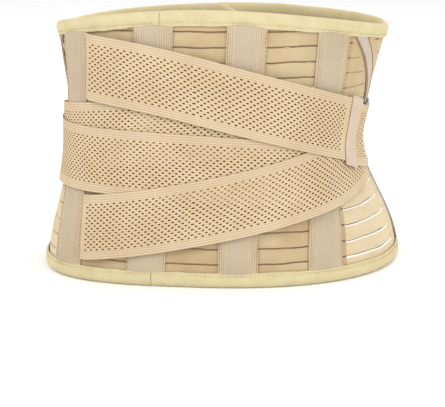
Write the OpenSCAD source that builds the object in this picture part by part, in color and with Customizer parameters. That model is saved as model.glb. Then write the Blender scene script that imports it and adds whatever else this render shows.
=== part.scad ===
// Elastic back brace, closed as it is worn: a stayed back section, two elastic front flaps
// that overlap at the front, and four perforated straps that cross over the back and end in
// two pull tabs. Every soft piece is laid out in belt coordinates: s runs round the belt from
// the middle of the back (positive to the wearer's right flap, +X), z is the height, and off is
// the distance outward from the middle of the elastic. ring_point() bends them round the torso.

/* [Belt] */
// Height of the brace at the middle of the back
back_height = 252; // [230:1:270]
// Height at the sides
side_height = 230; // [215:1:245]
// Height at the middle of the front
front_height = 238; // [220:1:250]
// Belt length from the middle of the back to the tip of the outer (right) flap
right_length = 540; // [530:1:545]
// Belt length from the middle of the back to the tip of the inner (left) flap
left_length = 498; // [490:1:500]
// How much lower the flap tips are than the front
tip_drop = 24; // [10:1:30]
// Radius of the flap corners
corner_r = 35; // [20:1:45]

/* [Torso form] */
// Half width on the right: bottom rim
right_low = 178; // [172:1:184]
// Half width on the right: waist
right_waist = 138; // [132:1:145]
// Half width on the right: top rim
right_top = 166; // [158:1:170]
// Half width on the left: bottom rim
left_low = 162; // [156:1:172]
// Half width on the left: waist
left_waist = 140; // [134:1:148]
// Half width on the left: top rim
left_top = 150; // [146:1:160]
// Depth of the back half: bottom rim, waist, top rim
back_depths = [156, 145, 133]; // [120:1:170]
// Depth of the front half: bottom rim, waist, top rim
front_depths = [127, 147, 120]; // [110:1:160]
// Roundness of the back half on the right (2 is an ellipse, and more is squarer)
right_back_power = 2.25; // [2:0.05:3]
// Roundness of the back half on the left
left_back_power = 3.2; // [2:0.05:3.4]
// Roundness of the front half
front_power = 2; // [2:0.05:2.4]

/* [Pieces] */
// Thickness of the elastic
elastic_t = 2.4; // [1.6:0.1:2.6]
// Width of the edge binding
binding_w = 13; // [10:1:16]
// Width of the four stay channels
channel_w = 36; // [30:1:40]
// Distance between stay channels
channel_pitch = 84; // [80:1:88]
// Width of the crossing straps
strap_w = 60; // [50:1:64]
// Thickness of a strap
strap_t = 0.8; // [0.6:0.1:0.9]
// Width of the spring steel stays
stay_w = 12; // [8:1:16]
// Width of the slanting side ribbons
ribbon_w = 13; // [10:1:16]
// Length of the hook panel on the inner flap
hook_panel_l = 96; // [80:1:100]

/* [Hidden] */

// Bend lines, as distances round the belt
seam = 148;          // between the back section and each flap
seam_gap = 0.4;      // half the gap left in the solids at a seam
side_s = 232;        // where the belt is lowest, at the side of the torso
front_s = 464;       // middle of the front
anchor = channel_pitch * 1.5 - channel_w / 2 - 1;    // where a strap is sewn to a stay channel
lift_start = 380;    // the outer flap rises clear of the inner one from here
lift_end = 425;
flap_lift = 6.6;
lean = 3.7;          // the stay channels lean this far over half the height
mid_z = back_height / 2;
waist_right = 120;   // height of the narrowest place on each side
waist_left = 140;
waist_depth = 140;

// Distances outward from the middle of the elastic, for each layer
skin = elastic_t / 2;
wall_in = 1.6;       // inner face of a binding's wall
wall_out = 2.9;
stay_in = 1.55;
stay_out = 2.05;
tape_in = 2.4;
tape_out = 3.0;
backing_in = -2.4;
backing_out = -1.75;
inner_off = 3.6;     // straps, from the body outward
middle_off = 5.0;
lower_off = 6.3;
upper_off = 7.9;
tab_off = 5.0;
tab_t = 1.2;

// The mesh is laid on one grid of stations, so that neighbouring layers keep their gaps
station = 12;
row_h = 13;
// These two put the middle of the whole box over the origin
centre_x = -(right_low - left_low) / 2;
centre_y = 3.39;     // the straps stand out further behind than the flaps do in front

// Eased step from 0 to 1; power moves the bend towards the end
function ease(t, power = 1) =
    let (c = min(1, max(0, t))) pow((1 - cos(180 * c)) / 2, power);
// Smooth curve through three heights
function profile(z, low, waist, top, waist_z, low_power, top_power) =
    z < waist_z
        ? waist + (low - waist) * ease((waist_z - z) / waist_z, low_power)
        : waist + (top - waist) * ease((z - waist_z) / (back_height - waist_z), top_power);
function right_half(z) = profile(z, right_low, right_waist, right_top, waist_right, 0.9, 0.75);
function left_half(z) = profile(z, left_low, left_waist, left_top, waist_left, 1.4, 3);
function depth(z, d) = profile(z, d[0], d[1], d[2], waist_depth, 1, 1);
function bent(v, power) = sign(v) * pow(abs(v), 2 / power);

// Point on the torso form at an angle from the middle of the back
function ring_point(angle, z, off) =
    let (
        across = sin(angle),
        along = -cos(angle),
        power = along > 0 ? front_power : across > 0 ? right_back_power : left_back_power,
        half = across > 0 ? right_half(z) : left_half(z),
        reach = along < 0 ? depth(z, back_depths) : depth(z, front_depths)
    )
    [centre_x + (half + off) * bent(across, power), centre_y + (reach + off) * bent(along, power), z];

// Tables from distance round the belt to angle, one per level and side
level_h = 28;
levels = ceil(back_height / level_h);
half_steps = 90;     // table steps from the middle of the back to the middle of the front
table_steps = 112;
function table_angle(k) = 180 * pow(k / half_steps, 1.5);
function table_point(k, z, side) = ring_point(side * table_angle(k), z, 0);
function arc_table(z, side) =
    [for (k = 0, run = 0;
          k <= table_steps;
          run = run + norm(table_point(k + 1, z, side) - table_point(k, z, side)), k = k + 1)
        [run, table_angle(k)]];
right_tables = [for (i = [0:levels]) arc_table(i * level_h, 1)];
left_tables = [for (i = [0:levels]) arc_table(i * level_h, -1)];
round_at = [for (i = [0:levels]) right_tables[i][half_steps][0] + left_tables[i][half_steps][0]];
function between(z, list) =
    let (q = min(levels - 0.001, max(0, z / level_h)), i = floor(q))
    list[i] * (1 - (q - i)) + list[i + 1] * (q - i);
waist_round = right_length + left_length - 110;
// The flaps stretch over the hips, so that their tips stay one above the other
function stretch(z) = (between(z, round_at) - 2 * seam) / (waist_round - 2 * seam);
function laid(s, z) =
    (abs(s) <= seam ? s : sign(s) * (seam + (abs(s) - seam) * stretch(z)))
    + lean * (z - mid_z) / mid_z;
function angle_at(s, z) =
    let (
        t = laid(s, z),
        tables = t > 0 ? right_tables : left_tables,
        q = min(levels - 0.001, max(0, z / level_h)),
        i = floor(q),
        low = lookup(abs(t), tables[i]),
        high = lookup(abs(t), tables[i + 1])
    )
    sign(t) * (low * (1 - (q - i)) + high * (q - i));
function wrap(s, z, off) = ring_point(angle_at(s, z), z, off);

// Outline of the belt: top and bottom edge at a distance s
function flap_length(s) = s > 0 ? right_length : left_length;
function crown(a) =
    a < side_s
        ? side_height + (back_height - side_height) * pow(cos(90 * a / side_s), 1.5)
        : let (t = min(1, (a - side_s) / (front_s - side_s)))
          side_height + (front_height - side_height) * pow(sin(90 * t), 1.5);
// How far the rounded corner of a flap cuts in, on an outline that lies inset inside the belt's own
function corner(a, length, inset = 0) =
    let (r = corner_r - inset, d = min(r, max(0, a - (length - corner_r)))) r - sqrt(r * r - d * d);
tip_run = 60;        // the flaps get lower over this much of their length
function top_plain(s) = crown(abs(s)) - tip_drop * ease((abs(s) - flap_length(s) + tip_run) / tip_run);
function top_edge(s, inset = 0) = top_plain(s) - inset - corner(abs(s), flap_length(s), inset);
function low_edge(s, inset = 0) = inset + corner(abs(s), flap_length(s), inset);
// The outer flap stands clear of the inner one
function lift(s) = s > 0 ? flap_lift * ease((s - lift_start) / (lift_end - lift_start)) : 0;

// Stations from a to b: both ends and every grid line between them
function stations(a, b) =
    let (first = floor(a / station) + 1, last = ceil(b / station) - 1)
    concat([a], [for (i = [first:1:last]) if (i * station > a + 1 && i * station < b - 1) i * station], [b]);

// A closed solid of constant-thickness fabric between two edges, from station a to b
module cloth(a, b, low, high, inside, outside) {
    st = stations(a, b);
    n = len(st) - 1;
    tallest = max([for (s = st) high(s) - low(s)]);
    m = max(1, ceil(tallest / row_h));
    function at(i, j, off) =
        let (s = st[i], z = low(s) + (high(s) - low(s)) * j / m) wrap(s, z, off(s) + lift(s));
    points = concat(
        [for (i = [0:n]) for (j = [0:m]) at(i, j, outside)],
        [for (i = [0:n]) for (j = [0:m]) at(i, j, inside)]
    );
    back = (n + 1) * (m + 1);
    function id(i, j) = i * (m + 1) + j;
    function quad(p, q, r, t) = [[p, q, r], [p, r, t]];
    faces = concat(
        [for (i = [0:n - 1]) for (j = [0:m - 1])
            each quad(id(i, j), id(i, j + 1), id(i + 1, j + 1), id(i + 1, j))],
        [for (i = [0:n - 1]) for (j = [0:m - 1])
            each quad(back + id(i, j), back + id(i + 1, j), back + id(i + 1, j + 1), back + id(i, j + 1))],
        [for (i = [0:n - 1]) each quad(id(i, 0), id(i + 1, 0), back + id(i + 1, 0), back + id(i, 0))],
        [for (i = [0:n - 1]) each quad(id(i + 1, m), id(i, m), back + id(i, m), back + id(i + 1, m))],
        [for (j = [0:m - 1]) each quad(id(0, j + 1), id(0, j), back + id(0, j), back + id(0, j + 1))],
        [for (j = [0:m - 1]) each quad(id(n, j), id(n, j + 1), back + id(n, j + 1), back + id(n, j))]
    );
    polyhedron(points, faces);
}

// A folded binding that holds the belt's edge, swept along path = [[s, z, inward s, inward z], ...]
module binding(path) {
    section = [
        [wall_out, binding_w], [wall_out, 0], [-wall_out, 0], [-wall_out, binding_w],
        [-wall_in, binding_w], [-wall_in, wall_in], [wall_in, wall_in], [wall_in, binding_w]
    ];
    k = len(section);
    n = len(path) - 1;
    points = [for (p = path) for (c = section)
        wrap(p[0] + p[2] * c[1], p[1] + p[3] * c[1], c[0] + lift(p[0]))];
    sides = [for (i = [0:n - 1]) for (j = [0:k - 1])
        let (a = i * k + j, b = i * k + (j + 1) % k)
        each [[a, a + k, b + k], [a, b + k, b]]];
    cap = [[0, 1, 6], [0, 6, 7], [1, 2, 5], [1, 5, 6], [2, 3, 4], [2, 4, 5]];
    last = n * k;
    // which way the walls face depends on the way that the path runs round the edge
    faces = concat(sides, cap, [for (f = cap) [f[2] + last, f[1] + last, f[0] + last]]);
    turn = path[n][0] * path[0][3] - path[0][0] * path[0][3]
         - (path[n][1] - path[0][1]) * path[0][2];
    polyhedron(points, turn > 0 ? faces : [for (f = faces) [f[2], f[1], f[0]]]);
}
function top_path(a, b) = [for (s = stations(a, b)) [s, top_plain(s), 0, -1]];
function bottom_path(a, b) = [for (s = stations(a, b)) [s, 0, 0, 1]];
// Round the two corners of a flap's tip, which lies at signed distance tip
function end_path(tip) =
    let (
        way = sign(tip),
        s_in = tip - way * corner_r,
        high = top_plain(s_in),
        steps = 5
    )
    concat(
        [for (i = [0:steps]) let (a = 90 - 90 * i / steps)
            [s_in + way * corner_r * cos(a), high - corner_r + corner_r * sin(a), -way * cos(a), -sin(a)]],
        [for (i = [1:8]) [tip, high - corner_r - (high - 2 * corner_r) * i / 9, -way, 0]],
        [for (i = [0:steps]) let (a = -90 * i / steps)
            [s_in + way * corner_r * cos(a), corner_r + corner_r * sin(a), -way * cos(a), -sin(a)]]
    );

// Height of a strap's middle line: a smooth curve between two ends with chosen end slopes
function swept(s, s0, z0, s1, z1, m0, m1) =
    let (t = (s - s0) / (s1 - s0), q = t * t, c = q * t)
    z0 + (z1 - z0) * ((c - 2 * q + t) * m0 + (3 * q - 2 * c) + (c - q) * m1);
upper_line = function (s) swept(s, -anchor, 199.5, 225, 121, 0.35, 0.75);
lower_line = function (s) swept(s, -anchor, 50, 225, 112, 0.6, 0.6);
middle_line = function (s) swept(s, anchor, 101, -250, 115, 3, 0);
inner_line = function (s) swept(s, anchor, 152, -250, 120, 0.3, 1.2);
strap_half = strap_w / 2 + 1;
sewn_l = 6;          // length of a strap's folded, sewn end
stitch_gap = 0.2;    // between a sewn end and the tape under it

// A strap that follows line between stations a and b; it is folded double at its sewn end
module strap(line, a, b, off, sewn = undef) {
    cloth(a, b,
        function (s) line(s) - strap_half,
        function (s) line(s) + strap_half,
        function (s) !is_undef(sewn) && abs(s - sewn) < sewn_l ? tape_out + stitch_gap : off,
        function (s) off + strap_t);
}

// Upright pieces in the back section run between the two bindings
upright_gap = 0.8;   // between an upright piece and a binding
upright_trim = 1.5;  // allows for the slope of the top edge
inset = binding_w + upright_gap;
module upright(centre, width, inside, outside, spare) {
    cloth(centre - width / 2, centre + width / 2,
        function (s) inset + spare,
        function (s) top_edge(centre) - inset - spare - upright_trim,
        function (s) inside,
        function (s) outside);
}
function channel_s(i) = (i - 2.5) * channel_pitch;
channel_half = channel_w / 2;

module stay_channel(i) color("Tan") upright(channel_s(i), channel_w, tape_in, tape_out, 0);
module stay_backing(i) color("AntiqueWhite") upright(channel_s(i), channel_w, backing_in, backing_out, 0);
module steel_stay(i) color("Silver") upright(channel_s(i), stay_w, stay_in, stay_out, 6);

edge_in = 2.4;       // the elastic stops this far inside the binding's fold
module back_elastic() color("NavajoWhite")
    cloth(-seam + seam_gap, seam - seam_gap,
        function (s) edge_in, function (s) top_edge(s) - edge_in,
        function (s) -skin, function (s) skin);
module back_top_binding() color("Khaki") binding(top_path(-seam + seam_gap, seam - seam_gap));
module back_bottom_binding() color("Khaki") binding(bottom_path(-seam + seam_gap, seam - seam_gap));

module upper_strap() color("Wheat") strap(upper_line, -anchor, seam - 2, upper_off, -anchor);
module lower_strap() color("Wheat") strap(lower_line, -anchor, seam - 2, lower_off, -anchor);
module middle_strap() color("Wheat") strap(middle_line, -seam + 2, anchor, middle_off);
module inner_strap() color("Wheat") strap(inner_line, -seam + 2, anchor, inner_off);

// Flaps; side is 1 on the right and -1 on the left
module flap_cloth(side, a, b, low, high, inside, outside)
    cloth(side > 0 ? a : -b, side > 0 ? b : -a, low, high, inside, outside);
flap_from = seam + seam_gap;
module flap_elastic(side, length) color("NavajoWhite")
    flap_cloth(side, flap_from, length - edge_in,
        function (s) low_edge(s, edge_in), function (s) top_edge(s, edge_in),
        function (s) -skin, function (s) skin);
function flap_a(side, length) = side > 0 ? flap_from : corner_r - length;
function flap_b(side, length) = side > 0 ? length - corner_r : -flap_from;
module flap_top_binding(side, length) color("Khaki")
    binding(top_path(flap_a(side, length), flap_b(side, length)));
module flap_bottom_binding(side, length) color("Khaki")
    binding(bottom_path(flap_a(side, length), flap_b(side, length)));

// The slanting ribbon starts beside the outermost channel at the top and runs forward to the hem
ribbon_top = 163;
ribbon_foot = 268;
ribbon_high = 221;
ribbon_low = binding_w + 2;
ribbon_rows = 24;
ribbon_bend = 1.8;        // it runs more upright towards the hem
function ribbon_s(t) = ribbon_foot + (ribbon_top - ribbon_foot) * pow(t, ribbon_bend);
function ribbon_slope(t) =
    (ribbon_top - ribbon_foot) * ribbon_bend * pow(t, ribbon_bend - 1) / (ribbon_high - ribbon_low);
module slanted(side, width, inside, outside, trim) {
    section = [[-1, outside], [0, outside], [1, outside], [1, inside], [0, inside], [-1, inside]];
    k = len(section);
    points = [for (j = [0:ribbon_rows]) for (edge = section)
        let (
            t = trim + (1 - 2 * trim) * j / ribbon_rows,
            z = ribbon_low + (ribbon_high - ribbon_low) * t,
            s = ribbon_s(t) + edge[0] * width / 2 * sqrt(1 + pow(ribbon_slope(t), 2))
        )
        wrap(side * s, z, edge[1])];
    walls = [for (j = [0:ribbon_rows - 1]) for (e = [0:k - 1])
        let (a = j * k + e, b = j * k + (e + 1) % k)
        each [[a, a + k, b + k], [a, b + k, b]]];
    cap = [[0, 1, 4], [0, 4, 5], [1, 2, 3], [1, 3, 4]];
    last = ribbon_rows * k;
    faces = concat(walls, cap, [for (f = cap) [f[2] + last, f[1] + last, f[0] + last]]);
    polyhedron(points, side > 0 ? faces : [for (f = faces) [f[2], f[1], f[0]]]);
}
module side_ribbon(side) color("Linen") slanted(side, ribbon_w, tape_in, tape_out, 0);
side_stay_w = 5;
side_stay_t = 0.45;
side_stay_trim = 0.04;    // part of the ribbon's length that the stay stops short of each end
module side_stay(side) color("Silver")
    slanted(side, side_stay_w, stay_in, stay_in + side_stay_t, side_stay_trim);

// Hook panel on the outer face of the inner flap, loop panel on the inner face of the outer flap
panel_gap = 1.5;
panel_margin = binding_w + panel_gap;
function panel_low(s) = low_edge(s, panel_margin);
function panel_high(s) = top_edge(s, panel_margin);
panel_end = left_length - panel_margin - 1;
panel_t = 1.3;
sewn_gap = 0.3;      // left between sewn layers
hook_margin = 8;          // from the flap's end
hook_from = left_length - hook_panel_l - hook_margin;    // inner end of the hook panel
label_to = hook_from - 1;
label_w = 18;
label_z = 105;
label_l = 36;
label_t = 0.8;
module left_hook_panel() color("Lavender")
    cloth(-panel_end, -hook_from,
        function (s) panel_low(s), function (s) panel_high(s),
        function (s) skin + sewn_gap, function (s) skin + panel_t);
module right_loop_panel() color("GhostWhite")
    cloth(right_length - hook_panel_l, right_length - panel_margin - 1,
        function (s) panel_low(s), function (s) panel_high(s),
        function (s) -skin - panel_t, function (s) -skin - sewn_gap);
module care_label() color("White")
    cloth(-label_to, -label_to + label_w,
        function (s) label_z, function (s) label_z + label_l,
        function (s) skin + sewn_gap, function (s) skin + label_t);

// Right flap: the lower strap's end lies under the joiner, which carries the pull tab
tab_half = 30;
joiner_half = 33;
right_joint_from = seam + 2;
right_tab_from = 178;
right_patch_from = 212;
right_tab_to = 314;
right_tab_z = 122;
right_tab_line = function (s)
    swept(s, right_joint_from, upper_line(right_joint_from), right_patch_from, right_tab_z, 1.3, 0.3);
// It comes down against the flap where it runs on under the tab
under_joiner = 1.4;   // how far it lies below its course on the back
under_tab = 1.3;      // and how much further under the tab
sink_from = 160;      // where it starts to come down
sink_run = 16;
function end_off(s) = lower_off - under_joiner - under_tab * ease((s - sink_from) / sink_run);
module right_strap_end() color("Wheat")
    cloth(right_joint_from, right_patch_from - 1,
        function (s) lower_line(s) - strap_half, function (s) lower_line(s) + strap_half,
        function (s) end_off(s), function (s) end_off(s) + strap_t);
module right_joiner() color("BurlyWood")
    cloth(right_joint_from, right_tab_from - 1,
        function (s) right_tab_line(s) - joiner_half, function (s) right_tab_line(s) + joiner_half,
        function (s) upper_off, function (s) upper_off + 1);

// Left flap: both strap ends run round to the joiner
left_joint_from = 241;
left_tab_from = 260;
left_patch_from = 281;
left_tab_to = 381;
left_line_z = 118;
module middle_strap_end() color("Wheat") strap(middle_line, -left_tab_from + 8, -seam - 2, middle_off);
module inner_strap_end() color("Wheat") strap(inner_line, -left_tab_from + 8, -seam - 2, inner_off);
module left_joiner() color("BurlyWood")
    cloth(-left_tab_from + 1, -left_joint_from,
        function (s) left_line_z - joiner_half, function (s) left_line_z + joiner_half,
        function (s) middle_off + 1.2, function (s) middle_off + 2.2);

// Pull tabs: a mesh neck, a smooth cover and hook tape underneath
tab_line = function (s) s > 0 ? right_tab_line(min(s, right_patch_from)) : left_line_z;
module tab_piece(a, b, half, inside, outside)
    cloth(a, b,
        function (s) tab_line(s) - half, function (s) tab_line(s) + half,
        function (s) inside, function (s) outside);
module tab_mesh(a, b) color("Wheat") tab_piece(a, b, tab_half, tab_off, tab_off + tab_t);
module tab_cover(a, b) color("GhostWhite") tab_piece(a, b, tab_half, tab_off, tab_off + tab_t);
hook_in = 3.6;       // the hook tape under a tab, outward from the middle of the elastic
hook_out = tab_off - sewn_gap;
module tab_hook(a, b) color("Lavender") tab_piece(a, b, tab_half - 1, hook_in, hook_out);

back_elastic();
back_top_binding();
back_bottom_binding();
stay_channel(1);  // stay_channel_1
stay_channel(2);  // stay_channel_2
stay_channel(3);  // stay_channel_3
stay_channel(4);  // stay_channel_4
stay_backing(1);  // stay_backing_1
stay_backing(2);  // stay_backing_2
stay_backing(3);  // stay_backing_3
stay_backing(4);  // stay_backing_4
steel_stay(1);  // steel_stay_1
steel_stay(2);  // steel_stay_2
steel_stay(3);  // steel_stay_3
steel_stay(4);  // steel_stay_4
upper_strap();
lower_strap();
middle_strap();
inner_strap();
flap_elastic(1, right_length);  // right_elastic
flap_top_binding(1, right_length);  // right_top_binding
flap_bottom_binding(1, right_length);  // right_bottom_binding
color("Khaki") binding(end_path(right_length));  // right_end_binding
side_ribbon(1);  // right_side_ribbon
side_stay(1);  // right_side_stay
right_loop_panel();
right_strap_end();
right_joiner();
tab_mesh(right_tab_from, right_patch_from);  // right_tab_mesh
tab_cover(right_patch_from, right_tab_to);  // right_tab_cover
tab_hook(right_patch_from + 2, right_tab_to - 1);  // right_tab_hook
flap_elastic(-1, left_length);  // left_elastic
flap_top_binding(-1, left_length);  // left_top_binding
flap_bottom_binding(-1, left_length);  // left_bottom_binding
color("Khaki") binding(end_path(-left_length));  // left_end_binding
side_ribbon(-1);  // left_side_ribbon
side_stay(-1);  // left_side_stay
left_hook_panel();
care_label();
middle_strap_end();
inner_strap_end();
left_joiner();
tab_mesh(-left_patch_from, -left_tab_from);  // left_tab_mesh
tab_cover(-left_tab_to, -left_patch_from);  // left_tab_cover
tab_hook(-left_tab_to + 1, -left_patch_from - 2);  // left_tab_hook
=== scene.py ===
"""Elastic back brace, closed as it is worn. Soft pieces are laid out in belt coordinates, in millimetres:
s runs round the belt from the middle of the back (positive to the right flap), z is the height, and off is the
distance outward from the middle of the elastic. wrap() bends them round the torso form that the CAD uses too."""
import bpy
import math
import numpy as np
from mathutils import Matrix, Vector


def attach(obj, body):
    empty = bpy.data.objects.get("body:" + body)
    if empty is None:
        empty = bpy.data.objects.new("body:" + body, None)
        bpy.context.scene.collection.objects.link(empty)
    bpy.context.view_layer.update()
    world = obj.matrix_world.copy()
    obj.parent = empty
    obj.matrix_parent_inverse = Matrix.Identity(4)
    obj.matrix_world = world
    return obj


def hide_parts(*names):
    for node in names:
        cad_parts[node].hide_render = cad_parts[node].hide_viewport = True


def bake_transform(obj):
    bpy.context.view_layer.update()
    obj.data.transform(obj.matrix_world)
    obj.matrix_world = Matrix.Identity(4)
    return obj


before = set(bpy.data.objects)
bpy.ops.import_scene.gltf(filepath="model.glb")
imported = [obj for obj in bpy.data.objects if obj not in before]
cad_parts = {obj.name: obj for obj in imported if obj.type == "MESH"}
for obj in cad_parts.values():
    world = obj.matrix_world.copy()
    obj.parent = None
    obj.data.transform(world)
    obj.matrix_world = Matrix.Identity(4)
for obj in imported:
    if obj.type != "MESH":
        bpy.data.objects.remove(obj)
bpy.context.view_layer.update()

# ---------------------------------------------------------------- torso form
BACK_H, SIDE_H, FRONT_H = 252.0, 230.0, 238.0
RIGHT_L, LEFT_L, OVERLAP = 540.0, 498.0, 110.0
TIP_DROP, TIP_RUN, CORNER_R = 24.0, 60.0, 35.0
SEAM, SIDE_S, FRONT_S = 148.0, 232.0, 464.0
LEAN, MID_Z = 3.7, 126.0
CENTRE = (-8.0, 3.39)
PITCH, CHANNEL_W = 84.0, 36.0
ANCHOR = PITCH * 1.5 - CHANNEL_W / 2 - 1    # where a strap is sewn to a stay channel
# (size at the hem, at the waist and at the top, height of the waist, sharpness of the curve below and above it)
RIGHT_HALF = (178.0, 138.0, 166.0, 120.0, 0.9, 0.75)
LEFT_HALF = (162.0, 140.0, 150.0, 140.0, 1.4, 3.0)
BACK_DEPTH = (156.0, 145.0, 133.0, 140.0, 1.0, 1.0)
FRONT_DEPTH = (127.0, 147.0, 120.0, 140.0, 1.0, 1.0)
FRONT_POWER, RIGHT_BACK_POWER, LEFT_BACK_POWER = 2.0, 2.25, 3.2
OUTER_LIFT, LIFT_FROM, LIFT_RUN = 6.6, 380.0, 45.0    # the right flap's end lies over the left one


def ease(t, p=1.0):
    return ((1 - np.cos(np.pi * np.clip(t, 0, 1))) / 2) ** p


def profile(z, low, waist, top, waist_z, low_p, top_p):
    return np.where(z < waist_z,
                    waist + (low - waist) * ease((waist_z - z) / waist_z, low_p),
                    waist + (top - waist) * ease((z - waist_z) / (BACK_H - waist_z), top_p))


def ring_point(angle, z, off):
    """A point of the torso form at an angle from the middle of the back, moved off millimetres outward."""
    angle, z, off = np.broadcast_arrays(np.asarray(angle, float), np.asarray(z, float), np.asarray(off, float))
    across, along = np.sin(np.radians(angle)), -np.cos(np.radians(angle))
    power = np.where(along >= 0, FRONT_POWER, np.where(across > 0, RIGHT_BACK_POWER, LEFT_BACK_POWER))
    half = np.where(across > 0, profile(z, *RIGHT_HALF), profile(z, *LEFT_HALF))
    reach = np.where(along < 0, profile(z, *BACK_DEPTH), profile(z, *FRONT_DEPTH))
    x = CENTRE[0] + (half + off) * np.sign(across) * np.abs(across) ** (2 / power)
    y = CENTRE[1] + (reach + off) * np.sign(along) * np.abs(along) ** (2 / power)
    return np.stack([x, y, z], -1)


# Arc lengths from the middle of the back, tabled at a row of levels; the angles are finest near the middle
LEVEL_H, LEVELS = 28.0, 9
HALF_STEPS, TABLE_STEPS = 90, 112
ANGLES = 180 * (np.arange(TABLE_STEPS + 1) / HALF_STEPS) ** 1.5


def arc_table(z, side):
    p = ring_point(side * ANGLES, z, 0)
    return np.concatenate([[0], np.cumsum(np.linalg.norm(np.diff(p, axis=0), axis=1))])


TABLES = {side: np.array([arc_table(i * LEVEL_H, side) for i in range(LEVELS + 1)]) for side in (1, -1)}
ROUND = TABLES[1][:, HALF_STEPS] + TABLES[-1][:, HALF_STEPS]
WAIST_ROUND = RIGHT_L + LEFT_L - OVERLAP


def level(z):
    q = np.clip(z / LEVEL_H, 0, LEVELS - 0.001)
    i = np.floor(q).astype(int)
    return i, q - i


def angle_at(s, z):
    """The flaps stretch or close up past the seams, so that they meet at the same angle at every height."""
    s, z = np.broadcast_arrays(np.asarray(s, float), np.asarray(z, float))
    i, f = level(z)
    stretch = (ROUND[i] * (1 - f) + ROUND[i + 1] * f - 2 * SEAM) / (WAIST_ROUND - 2 * SEAM)
    t = np.where(np.abs(s) <= SEAM, s, np.sign(s) * (SEAM + (np.abs(s) - SEAM) * stretch))
    t = t + LEAN * (z - MID_Z) / MID_Z
    out = np.zeros(t.shape)
    for k in range(LEVELS):
        for side, table in TABLES.items():
            m = ((t > 0) if side > 0 else (t <= 0)) & (i == k)
            if m.any():
                low = np.interp(np.abs(t[m]), table[k], ANGLES)
                high = np.interp(np.abs(t[m]), table[k + 1], ANGLES)
                out[m] = low * (1 - f[m]) + high * f[m]
    return np.sign(t) * out


def wrap(s, z, off=0.0):
    """Belt coordinates in millimetres to the row frame in metres."""
    s, z, off = np.broadcast_arrays(np.asarray(s, float), np.asarray(z, float), np.asarray(off, float))
    lift = np.where(s > 0, OUTER_LIFT * ease((s - LIFT_FROM) / LIFT_RUN), 0)
    return ring_point(angle_at(s, z), z, off + lift) / 1000


def length_of(s):
    return np.where(s > 0, RIGHT_L, LEFT_L)


def crown(a):
    rise = np.cos(np.pi / 2 * np.clip(a / SIDE_S, 0, 1)) ** 1.5
    front = np.sin(np.pi / 2 * np.clip((a - SIDE_S) / (FRONT_S - SIDE_S), 0, 1)) ** 1.5
    return np.where(a < SIDE_S, SIDE_H + (BACK_H - SIDE_H) * rise, SIDE_H + (FRONT_H - SIDE_H) * front)


def corner(a, length):
    d = np.minimum(CORNER_R, np.maximum(0, a - (length - CORNER_R)))
    return CORNER_R - np.sqrt(CORNER_R ** 2 - d * d)


def top_plain(s):
    """The top edge as it would run without the rounded corners at the flaps' ends."""
    s = np.asarray(s, float)
    return crown(np.abs(s)) - TIP_DROP * ease((np.abs(s) - length_of(s) + TIP_RUN) / TIP_RUN)


def top_edge(s):
    s = np.asarray(s, float)
    return top_plain(s) - corner(np.abs(s), length_of(s))


def low_edge(s):
    s = np.asarray(s, float)
    return corner(np.abs(s), length_of(s))


def swept(s, s0, z0, s1, z1, m0, m1):
    """A smooth course from (s0, z0) to (s1, z1); m0 and m1 are its slopes there, as shares of the straight one."""
    t = (s - s0) / (s1 - s0)
    q, c = t * t, t ** 3
    return z0 + (z1 - z0) * ((c - 2 * q + t) * m0 + (3 * q - 2 * c) + (c - q) * m1)


JOINT_S, PATCH_S = 150.0, 212.0
TAB_Z = {1: 122.0, -1: 118.0}


def upper_line(s):
    return swept(s, -ANCHOR, 199.5, 225, 121, 0.35, 0.75)


def lower_line(s):
    return swept(s, -ANCHOR, 50, 225, 112, 0.6, 0.6)


def middle_line(s):
    return swept(s, ANCHOR, 101, -250, 115, 3, 0)


def inner_line(s):
    return swept(s, ANCHOR, 152, -250, 120, 0.3, 1.2)


def right_tab_line(s):
    """The right tab carries on from the upper strap and levels out where its smooth part starts."""
    return swept(np.minimum(s, PATCH_S), JOINT_S, upper_line(JOINT_S), PATCH_S, TAB_Z[1], 1.3, 0.3)


def left_tab_line(s):
    return np.full(np.shape(s), TAB_Z[-1])


# ---------------------------------------------------------------- materials
TONE = 0.87          # the named colours are of lit fabric, so the fabric itself is this much darker
RIB_PAINTED_SHADE = 0.35     # how much painted shade darkens a rib's furrow, per unit of its depth
# the most painted shade that any rib's furrow gets
MOST_PAINTED_SHADE = 0.3
BUMP_H = 0.0004


def lin(rgb):
    return tuple((c / 12.92 if c <= 0.04045 else ((c + 0.055) / 1.055) ** 2.4) for c in (v / 255 for v in rgb))


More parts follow.
